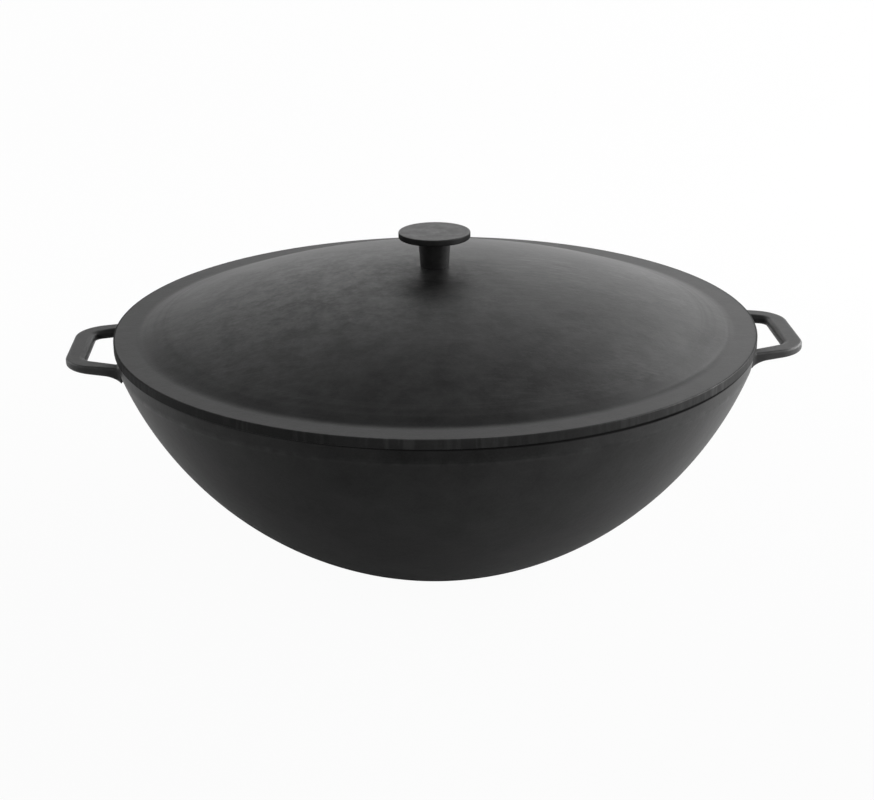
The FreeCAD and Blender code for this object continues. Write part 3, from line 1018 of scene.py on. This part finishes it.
class KAZAN_OT_lid(bpy.types.Operator):
    """Build the domed lid"""
    bl_idname = "kazan.lid"
    bl_label = "Lid"

    def execute(self, context):
        pot, lid, finish = context.scene.kazan_pot, context.scene.kazan_lid, context.scene.kazan_finish
        iron = iron_material("lid_iron", finish.lid_colour, finish.lid_roughness, finish,
                             lid_marks, lid)
        around, seed = 440, 7
        shell = turned_shell(lid_corners(pot, lid), True, around, finish.unevenness, seed)
        piece_from("lid_casting", [shell], iron, "lid")
        return {"FINISHED"}


class KAZAN_OT_knob(bpy.types.Operator):
    """Build the knob"""
    bl_idname = "kazan.knob"
    bl_label = "Knob"

    def execute(self, context):
        knob, finish = context.scene.kazan_knob, context.scene.kazan_finish
        iron = iron_material("knob_iron", finish.knob_colour, finish.knob_roughness, finish,
                             knob_marks)
        around, seed = 160, 9
        shell = turned_shell(knob_corners(knob), False, around, finish.unevenness, seed)
        piece_from("turned_knob", [shell], iron, "knob")
        return {"FINISHED"}


class KAZAN_OT_screw(bpy.types.Operator):
    """Give the screw inside the lid its steel"""
    bl_idname = "kazan.screw"
    bl_label = "Screw"

    def execute(self, context):
        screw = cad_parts["knob_screw"]
        screw.data.materials.clear()
        screw.data.materials.append(screw_material(context.scene.kazan_finish))
        return {"FINISHED"}


def stage_material(look):
    """Pale paper that keeps the shadow of the object and turns whiter from front to back; its darker
    front is painted shade, which the iron mirrors. To the camera it glows near white. In the iron's
    reflections the backdrop and the floor's two sides glow too, each by its own share."""
    wall_height, backdrop_half, shade_half = 0.5, 0.9, 0.5
    object_half, table_half, table_front, table_back = 0.1, 0.3, -0.25, 0.05
    material = bpy.data.materials.new("studio_paper")
    tree = empty_tree(material)
    rays = add(tree, "ShaderNodeLightPath").outputs
    seen, mirrored, passed = (Field(rays[f"Is {kind} Ray"])
                              for kind in ("Camera", "Glossy", "Transmission"))
    x, y, z = along_axes(field(tree, "ShaderNodeTexCoord", "Object"))
    sides = (x.spread(-object_half, -table_half, 0.0, look.table_left)
             + x.spread(object_half, table_half, 0.0, look.table_right))
    table = sides * y.spread(table_front, table_back)
    backdrop = x.spread(-backdrop_half, backdrop_half, look.wall_left, look.wall_right)
    glowing = mixed(z.spread(0.0, wall_height), table, backdrop)
    share = seen * look.floor_glow + glowing * maths("MAXIMUM", mirrored, passed)
    # Painted shade: the floor darker in front and lighter behind
    shade = field(tree, "ShaderNodeMix", 2, {
        0: y.spread(-shade_half, shade_half),
        6: (*look.near_colour, 1.0), 7: (*look.far_colour, 1.0)}, data_type="RGBA")
    paper = field(tree, "ShaderNodeBsdfDiffuse", "BSDF", {"Color": shade})
    glow = field(tree, "ShaderNodeEmission", "Emission", {"Color": WHITE, "Strength": 1.0})
    show(field(tree, "ShaderNodeMixShader", "Shader", {0: share, 1: paper, 2: glow}))
    return material


def sweep_sheet():
    """Floor that curves up into a backdrop: a straight run, a quarter circle and an upright run,
    drawn out sideways."""
    front, back, bend_radius, height, half_width = -4.0, 2.2, 0.8, 3.0, 5.0
    bend = np.linspace(0, math.pi / 2, 25)
    side_view = np.concatenate([
        [[front, 0.0]],
        np.stack([back - bend_radius * (1 - np.sin(bend)), bend_radius * (1 - np.cos(bend))], axis=-1),
        [[back, height]]])
    across = np.array([-half_width, half_width])
    depth = np.repeat(side_view[:, :1], 2, axis=1)
    rise = np.repeat(side_view[:, 1:], 2, axis=1)
    surface = np.stack([np.broadcast_to(across, depth.shape), depth, rise], axis=-1)
    rows = np.arange(depth.size).reshape(depth.shape)
    return surface.reshape(-1, 3), grid_faces(rows, False, False)


def soft_lamp(name, place, size, aim, watts):
    """Soft lamp of a width and height that faces a point."""
    lamp = bpy.data.lights.new(name, "AREA")
    lamp.shape = "RECTANGLE"
    lamp.size, lamp.size_y = size
    lamp.energy = watts
    holder = bpy.data.objects.new(name, lamp)
    holder.location = place
    holder.rotation_euler = (Vector(aim) - Vector(place)).to_track_quat("-Z", "Y").to_euler()
    bpy.context.scene.collection.objects.link(holder)


def room_world(look):
    """Soft light from all round. Along each way out from the object it is the sum of five parts, each
    weighted by the square of how far that way points right, left, back, forward or up. The camera sees
    it as white."""
    world = bpy.data.worlds.new("studio_room")
    tree = empty_tree(world)
    way = field(tree, "ShaderNodeTexCoord", "Generated")
    strength = 0.0
    for turn, shares_of_light in ((1.0, (look.room_right, look.room_back, look.room_above)),
                                  (-1.0, (look.room_left, look.room_front, 0.0))):
        held = vector_maths("MAXIMUM", scaled(tree, way, turn), (0.0, 0.0, 0.0))
        squares = vector_maths("MULTIPLY", held, held)
        strength = strength + vector_maths("DOT_PRODUCT", squares, shares_of_light, output="Value")
    to_camera = mixed(field(tree, "ShaderNodeLightPath", "Is Camera Ray"), strength, 1.0)
    show(field(tree, "ShaderNodeBackground", "Background", {"Color": WHITE, "Strength": to_camera}),
         "ShaderNodeOutputWorld")
    bpy.context.scene.world = world


def studio_camera(look):
    """Camera at the viewing angle of the photograph."""
    lens = bpy.data.cameras.new("studio_camera")
    lens.sensor_width = 36.0
    lens.lens = look.camera_lens
    pitch, turn = look.camera_pitch, look.camera_turn
    level_back = Vector((math.sin(turn), -math.cos(turn), 0.0)) * math.cos(pitch)
    back = level_back + Vector((0.0, 0.0, math.sin(pitch)))
    holder = bpy.data.objects.new("studio_camera", lens)
    holder.location = Vector((look.target_offset, 0, look.target_height)) + back * look.camera_distance
    level = (-back).to_track_quat("-Z", "Y").to_matrix()
    holder.rotation_euler = (level @ Matrix.Rotation(-look.camera_roll, 3, "Z")).to_euler()
    bpy.context.scene.collection.objects.link(holder)
    bpy.context.scene.camera = holder


class KAZAN_OT_stage(bpy.types.Operator):
    """Build the floor, the soft lamps and the camera"""
    bl_idname = "kazan.stage"
    bl_label = "Stage"

    def execute(self, context):
        look = context.scene.kazan_stage
        vertices, faces = sweep_sheet()
        mesh = bpy.data.meshes.new("studio_floor")
        mesh.from_pydata(vertices.tolist(), [], faces)
        mesh.polygons.foreach_set("use_smooth", np.ones(len(mesh.polygons), bool))
        mesh.materials.append(stage_material(look))
        floor = bpy.data.objects.new("studio_floor", mesh)
        context.scene.collection.objects.link(floor)
        aim = (0.0, 0.0, 0.1)
        soft_lamp("right_lamp", (1.5, 0.9, 1.0), (1.2, 1.0), aim, look.right_lamp)
        soft_lamp("left_lamp", (-1.6, 0.7, 0.9), (1.0, 0.9), aim, look.left_lamp)
        soft_lamp("side_lamp", (1.9, -0.1, 0.62), (2.4, 1.2), aim, look.side_lamp)
        room_world(look)
        studio_camera(look)
        context.scene.view_settings.view_transform = "Standard"
        return {"FINISHED"}


class KAZAN_PT_sidebar(bpy.types.Panel):
    """Lists the steps that build the kazan"""
    bl_idname = "KAZAN_PT_sidebar"
    bl_label = "Kazan"
    bl_space_type = "VIEW_3D"
    bl_region_type = "UI"
    bl_category = "Kazan"

    def draw(self, context):
        for step in STEPS:
            self.layout.operator(step.bl_idname)


GROUPS = {"kazan_pot": KazanPotSizes, "kazan_ear": KazanEarSizes, "kazan_lid": KazanLidSizes,
          "kazan_knob": KazanKnobSizes, "kazan_finish": KazanFinish, "kazan_stage": KazanStageLook}
STEPS = (KAZAN_OT_pot, KAZAN_OT_lid, KAZAN_OT_knob, KAZAN_OT_screw, KAZAN_OT_stage)


def register():
    for cls in (*GROUPS.values(), *STEPS, KAZAN_PT_sidebar):
        bpy.utils.register_class(cls)
    for name, cls in GROUPS.items():
        setattr(bpy.types.Scene, name, PointerProperty(type=cls))


def unregister():
    for name in GROUPS:
        delattr(bpy.types.Scene, name)
    for cls in reversed((*GROUPS.values(), *STEPS, KAZAN_PT_sidebar)):
        bpy.utils.unregister_class(cls)


def main():
    """Build every piece and the stage."""
    register()
    bpy.ops.kazan.pot()
    bpy.ops.kazan.lid()
    bpy.ops.kazan.knob()
    bpy.ops.kazan.screw()
    bpy.ops.kazan.stage()


if __name__ == "__main__":
    main()
